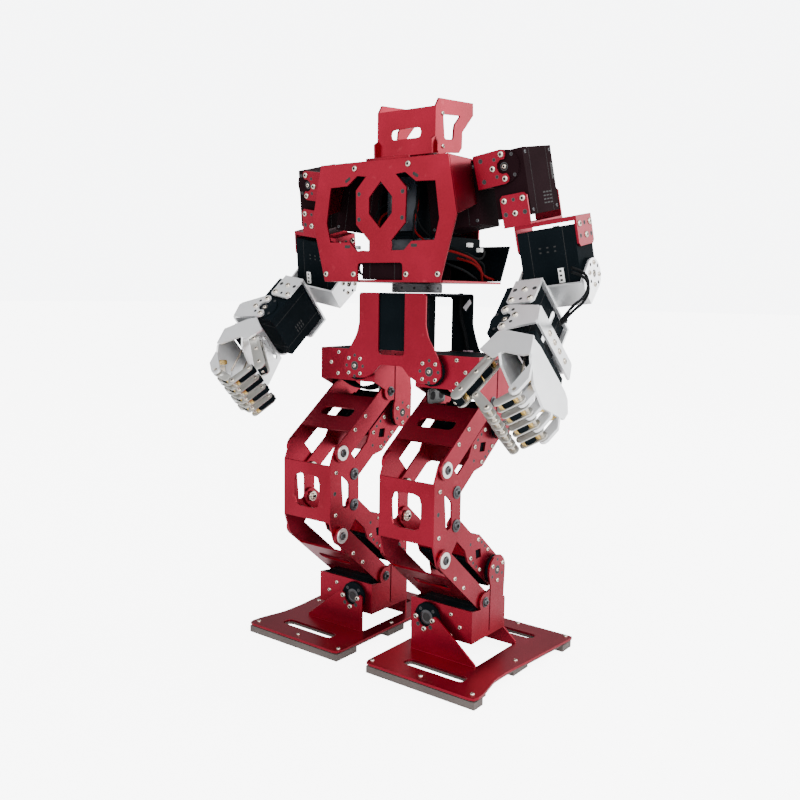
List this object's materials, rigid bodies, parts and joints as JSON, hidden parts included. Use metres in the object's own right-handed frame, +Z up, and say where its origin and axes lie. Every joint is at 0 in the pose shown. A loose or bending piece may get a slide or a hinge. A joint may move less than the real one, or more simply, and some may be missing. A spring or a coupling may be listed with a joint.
{
  "type": "humanoid robot kit",
  "caption": "Small humanoid robot standing with bent knees: folded sheet-metal legs and chest in red, bare metal hands, black servos and an open head bracket.",
  "frame": {"origin": "centre of the footprint, on the floor", "axes": "+Z up, the robot faces -Y, and its own left side is +X"},
  "size_m": [0.2896, 0.158, 0.3954],
  "materials": {
    "red_aluminium": "satin red anodised",
    "bare_aluminium": "satin bare",
    "servo_plastic": "fine moulded texture",
    "shoulder_plastic": "fine moulded texture",
    "sole_rubber": "dull"
  },
  "bodies": {
    "pelvis": {"pelvis_front_plate": "red_aluminium", "pelvis_rear_frame": "servo_plastic"},
    "chest": {"waist_turntable": "servo_plastic", "chest_front_plate": "red_aluminium", "chest_frame": "red_aluminium", "chest_electronics": "servo_plastic", "left_shoulder_pitch_servo": "servo_plastic", "right_shoulder_pitch_servo": "servo_plastic"},
    "head": {"head_bracket": "red_aluminium"},
    "left_hip": {"left_hip_bracket": "red_aluminium", "left_hip_servo": "servo_plastic"},
    "left_thigh": {"left_thigh_rear_link": "red_aluminium", "left_thigh_servo": "servo_plastic"},
    "left_thigh_front": {"left_thigh_front_link": "red_aluminium"},
    "left_knee": {"left_knee_block": "red_aluminium"},
    "left_shank": {"left_shank_rear_link": "red_aluminium", "left_shank_servo": "servo_plastic"},
    "left_shank_front": {"left_shank_front_link": "red_aluminium"},
    "left_ankle": {"left_ankle_bracket": "red_aluminium", "left_ankle_servo": "servo_plastic"},
    "left_foot": {"left_foot_plate": "red_aluminium", "left_foot_sole": "sole_rubber"},
    "left_shoulder": {"left_shoulder_bracket": "red_aluminium"},
    "left_upper_arm": {"left_shoulder_servo": "shoulder_plastic", "left_upper_arm_bracket": "red_aluminium", "left_elbow_servo": "servo_plastic"},
    "left_forearm": {"left_forearm_bracket": "bare_aluminium", "left_wrist_servo": "servo_plastic"},
    "left_hand": {"left_hand_bracket": "bare_aluminium", "left_hand_servo": "servo_plastic", "left_palm": "bare_aluminium"},
    "left_fingers": {"left_fingers_proximal": "bare_aluminium"},
    "left_fingertips": {"left_fingers_distal": "bare_aluminium"},
    "left_thumb": {"left_thumb": "bare_aluminium"},
    "right_hip": {"right_hip_bracket": "red_aluminium", "right_hip_servo": "servo_plastic"},
    "right_thigh": {"right_thigh_rear_link": "red_aluminium", "right_thigh_servo": "servo_plastic"},
    "right_thigh_front": {"right_thigh_front_link": "red_aluminium"},
    "right_knee": {"right_knee_block": "red_aluminium"},
    "right_shank": {"right_shank_rear_link": "red_aluminium", "right_shank_servo": "servo_plastic"},
    "right_shank_front": {"right_shank_front_link": "red_aluminium"},
    "right_ankle": {"right_ankle_bracket": "red_aluminium", "right_ankle_servo": "servo_plastic"},
    "right_foot": {"right_foot_plate": "red_aluminium", "right_foot_sole": "sole_rubber"},
    "right_shoulder": {"right_shoulder_bracket": "red_aluminium"},
    "right_upper_arm": {"right_shoulder_servo": "shoulder_plastic", "right_upper_arm_bracket": "red_aluminium", "right_elbow_servo": "servo_plastic"},
    "right_forearm": {"right_forearm_bracket": "bare_aluminium", "right_wrist_servo": "servo_plastic"},
    "right_hand": {"right_hand_bracket": "bare_aluminium", "right_hand_servo": "servo_plastic", "right_palm": "bare_aluminium"},
    "right_fingers": {"right_fingers_proximal": "bare_aluminium"},
    "right_fingertips": {"right_fingers_distal": "bare_aluminium"},
    "right_thumb": {"right_thumb": "bare_aluminium"}
  },
  "joints": [
    {"name": "waist_yaw", "type": "hinge", "parent": "pelvis", "child": "chest", "pos_m": [0.00187, 0.01665, 0.26], "axis": [0, 0, 1], "range_deg": [-45, 45]},
    {"name": "head_pan", "type": "hinge", "parent": "chest", "child": "head", "pos_m": [0.00187, 0.01665, 0.3488], "axis": [0, 0, 1], "range_deg": [-60, 60]},
    {"name": "left_hip_roll", "type": "hinge", "parent": "pelvis", "child": "left_hip", "pos_m": [0.03507, 0.01365, 0.2069], "axis": [0, -1, 0], "range_deg": [-4, 20]},
    {"name": "left_hip_pitch", "type": "hinge", "parent": "left_hip", "child": "left_thigh", "pos_m": [0.04612, 0.02595, 0.1699], "axis": [1, 0, 0], "range_deg": [-40, 40]},
    {"name": "left_hip_link", "type": "hinge", "parent": "left_hip", "child": "left_thigh_front", "pos_m": [0.04612, 0.01115, 0.1873], "axis": [1, 0, 0], "range_deg": [-41, 41]},
    {"name": "left_knee_upper", "type": "hinge", "parent": "left_thigh", "child": "left_knee", "pos_m": [0.04612, -0.02605, 0.1302], "axis": [1, 0, 0], "range_deg": [-41, 41]},
    {"name": "left_knee_pitch", "type": "hinge", "parent": "left_knee", "child": "left_shank", "pos_m": [0.04612, -0.02595, 0.1076], "axis": [1, 0, 0], "range_deg": [-40, 20]},
    {"name": "left_knee_link", "type": "hinge", "parent": "left_knee", "child": "left_shank_front", "pos_m": [0.04612, -0.04085, 0.0878], "axis": [1, 0, 0], "range_deg": [-41, 21]},
    {"name": "left_ankle_pitch", "type": "hinge", "parent": "left_shank", "child": "left_ankle", "pos_m": [0.04612, 0.02355, 0.066], "axis": [1, 0, 0], "range_deg": [-21, 41]},
    {"name": "left_ankle_roll", "type": "hinge", "parent": "left_ankle", "child": "left_foot", "pos_m": [0.03607, 0.01365, 0.0323], "axis": [0, -1, 0], "range_deg": [-15, 15]},
    {"name": "left_shoulder_pitch", "type": "hinge", "parent": "chest", "child": "left_shoulder", "pos_m": [0.08617, 0.01175, 0.344], "axis": [-0.989, 0, -0.1478], "range_deg": [-45, 60]},
    {"name": "left_shoulder_roll", "type": "hinge", "parent": "left_shoulder", "child": "left_upper_arm", "pos_m": [0.08673, -0.01022, 0.34025], "axis": [0.0252, -0.9854, -0.1683], "range_deg": [-5, 60]},
    {"name": "left_elbow", "type": "hinge", "parent": "left_upper_arm", "child": "left_forearm", "pos_m": [0.11495, 0.01898, 0.27152], "axis": [-0.9929, -0.005, -0.1188], "range_deg": [-55, 35]},
    {"name": "left_wrist", "type": "hinge", "parent": "left_forearm", "child": "left_hand", "pos_m": [0.10241, -0.02983, 0.24626], "axis": [-0.0823, -0.6921, 0.7171], "range_deg": [-30, 8]},
    {"name": "left_fingers_curl", "type": "hinge", "parent": "left_hand", "child": "left_fingers", "pos_m": [0.13657, -0.05489, 0.19113], "axis": [0.0823, 0.6921, -0.7171], "range_deg": [-40, 15]},
    {"name": "left_fingertips_curl", "type": "hinge", "parent": "left_fingers", "child": "left_fingertips", "pos_m": [0.12233, -0.06263, 0.18204], "axis": [0.0823, 0.6921, -0.7171], "range_deg": [-41, 16]},
    {"name": "left_thumb_curl", "type": "hinge", "parent": "left_hand", "child": "left_thumb", "pos_m": [0.10747, -0.04887, 0.22149], "axis": [0.0823, 0.6921, -0.7171], "range_deg": [-7, 17]},
    {"name": "right_hip_roll", "type": "hinge", "parent": "pelvis", "child": "right_hip", "pos_m": [-0.03133, 0.01365, 0.2069], "axis": [0, -1, 0], "range_deg": [-20, 4]},
    {"name": "right_hip_pitch", "type": "hinge", "parent": "right_hip", "child": "right_thigh", "pos_m": [-0.04238, 0.02595, 0.1699], "axis": [1, 0, 0], "range_deg": [-40, 40]},
    {"name": "right_hip_link", "type": "hinge", "parent": "right_hip", "child": "right_thigh_front", "pos_m": [-0.04238, 0.01115, 0.1873], "axis": [1, 0, 0], "range_deg": [-41, 41]},
    {"name": "right_knee_upper", "type": "hinge", "parent": "right_thigh", "child": "right_knee", "pos_m": [-0.04238, -0.02605, 0.1302], "axis": [1, 0, 0], "range_deg": [-41, 41]},
    {"name": "right_knee_pitch", "type": "hinge", "parent": "right_knee", "child": "right_shank", "pos_m": [-0.04238, -0.02595, 0.1076], "axis": [1, 0, 0], "range_deg": [-40, 20]},
    {"name": "right_knee_link", "type": "hinge", "parent": "right_knee", "child": "right_shank_front", "pos_m": [-0.04238, -0.04085, 0.0878], "axis": [1, 0, 0], "range_deg": [-41, 21]},
    {"name": "right_ankle_pitch", "type": "hinge", "parent": "right_shank", "child": "right_ankle", "pos_m": [-0.04238, 0.02355, 0.066], "axis": [1, 0, 0], "range_deg": [-21, 41]},
    {"name": "right_ankle_roll", "type": "hinge", "parent": "right_ankle", "child": "right_foot", "pos_m": [-0.03233, 0.01365, 0.0323], "axis": [0, -1, 0], "range_deg": [-15, 15]},
    {"name": "right_shoulder_pitch", "type": "hinge", "parent": "chest", "child": "right_shoulder", "pos_m": [-0.08243, 0.01175, 0.344], "axis": [-0.989, 0, 0.1478], "range_deg": [-45, 60]},
    {"name": "right_shoulder_roll", "type": "hinge", "parent": "right_shoulder", "child": "right_upper_arm", "pos_m": [-0.08324, -0.00986, 0.33855], "axis": [0.0365, 0.969, 0.2443], "range_deg": [-5, 60]},
    {"name": "right_elbow", "type": "hinge", "parent": "right_upper_arm", "child": "right_forearm", "pos_m": [-0.09338, 0.02478, 0.27021], "axis": [-0.9872, -0.003, 0.1595], "range_deg": [-55, 35]},
    {"name": "right_wrist", "type": "hinge", "parent": "right_forearm", "child": "right_hand", "pos_m": [-0.11486, -0.02341, 0.24858], "axis": [-0.1145, 0.7096, -0.6953], "range_deg": [-30, 30]},
    {"name": "right_fingers_curl", "type": "hinge", "parent": "right_hand", "child": "right_fingers", "pos_m": [-0.12249, -0.05135, 0.18537], "axis": [0.1145, -0.7096, 0.6953], "range_deg": [-40, 15]},
    {"name": "right_fingertips_curl", "type": "hinge", "parent": "right_fingers", "child": "right_fingertips", "pos_m": [-0.1046, -0.05307, 0.18067], "axis": [0.1145, -0.7096, 0.6953], "range_deg": [-41, 16]},
    {"name": "right_thumb_curl", "type": "hinge", "parent": "right_hand", "child": "right_thumb", "pos_m": [-0.10639, -0.04005, 0.22302], "axis": [0.1145, -0.7096, 0.6953], "range_deg": [-7, 17]}
  ],
  "couplings": [
    {"joint": "left_hip_link", "follows": "left_hip_pitch", "ratio": 1},
    {"joint": "left_knee_upper", "follows": "left_hip_pitch", "ratio": -1},
    {"joint": "left_knee_link", "follows": "left_knee_pitch", "ratio": 1},
    {"joint": "left_ankle_pitch", "follows": "left_knee_pitch", "ratio": -1},
    {"joint": "left_fingertips_curl", "follows": "left_fingers_curl", "ratio": 1},
    {"joint": "left_thumb_curl", "follows": "left_fingers_curl", "ratio": -0.4},
    {"joint": "right_hip_link", "follows": "right_hip_pitch", "ratio": 1},
    {"joint": "right_knee_upper", "follows": "right_hip_pitch", "ratio": -1},
    {"joint": "right_knee_link", "follows": "right_knee_pitch", "ratio": 1},
    {"joint": "right_ankle_pitch", "follows": "right_knee_pitch", "ratio": -1},
    {"joint": "right_fingertips_curl", "follows": "right_fingers_curl", "ratio": 1},
    {"joint": "right_thumb_curl", "follows": "right_fingers_curl", "ratio": -0.4}
  ]
}
